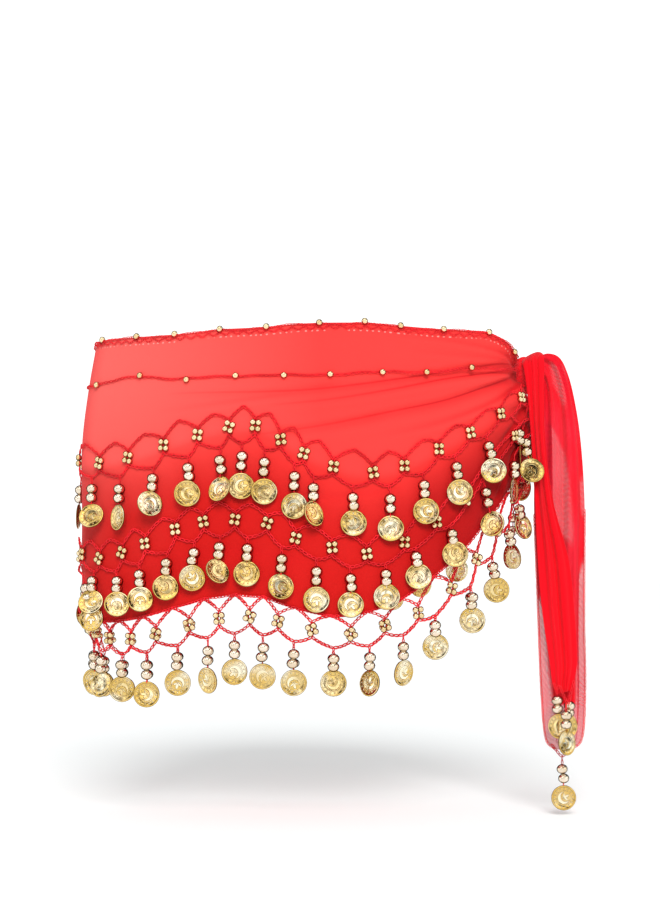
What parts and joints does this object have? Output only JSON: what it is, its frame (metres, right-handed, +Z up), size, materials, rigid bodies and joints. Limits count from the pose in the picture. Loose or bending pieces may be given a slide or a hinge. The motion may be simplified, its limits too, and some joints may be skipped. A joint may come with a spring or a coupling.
{
  "type": "belly dance hip scarf",
  "caption": "Red chiffon hip scarf worn round hollow hips and knotted at one side, with crocheted beaded nets, strings of gold coins and two hanging tie ends",
  "frame": {"origin": "the middle of the hollow hips at the height of the knot, where the scarf is held", "axes": "+Z up; the front faces -Y; +X points to the knot at the wearer's left hip; the tie ends hang down beside it"},
  "size_m": [0.4093, 0.2128, 0.3754],
  "materials": {
    "red_cloth": "sheer chiffon, soft sheen",
    "red_thread": "crocheted thread, matt",
    "gold_and_thread": "polished gold coins and beads on crocheted chains"
  },
  "bodies": {
    "root": {"bead_chain_back": "red_thread", "bead_chain_front": "red_thread", "hem_net_back": "gold_and_thread", "hem_net_front": "gold_and_thread", "knot": "red_cloth", "middle_net_back": "gold_and_thread", "middle_net_front": "gold_and_thread", "tie_end_front": "red_cloth", "tie_end_rear": "red_cloth", "tie_trim_front": "gold_and_thread", "tie_trim_rear": "gold_and_thread", "top_edging_back": "red_thread", "top_edging_front": "red_thread", "upper_net_back": "gold_and_thread", "upper_net_front": "gold_and_thread", "wrap_back": "red_cloth", "wrap_front": "red_cloth"}
  },
  "joints": []
}
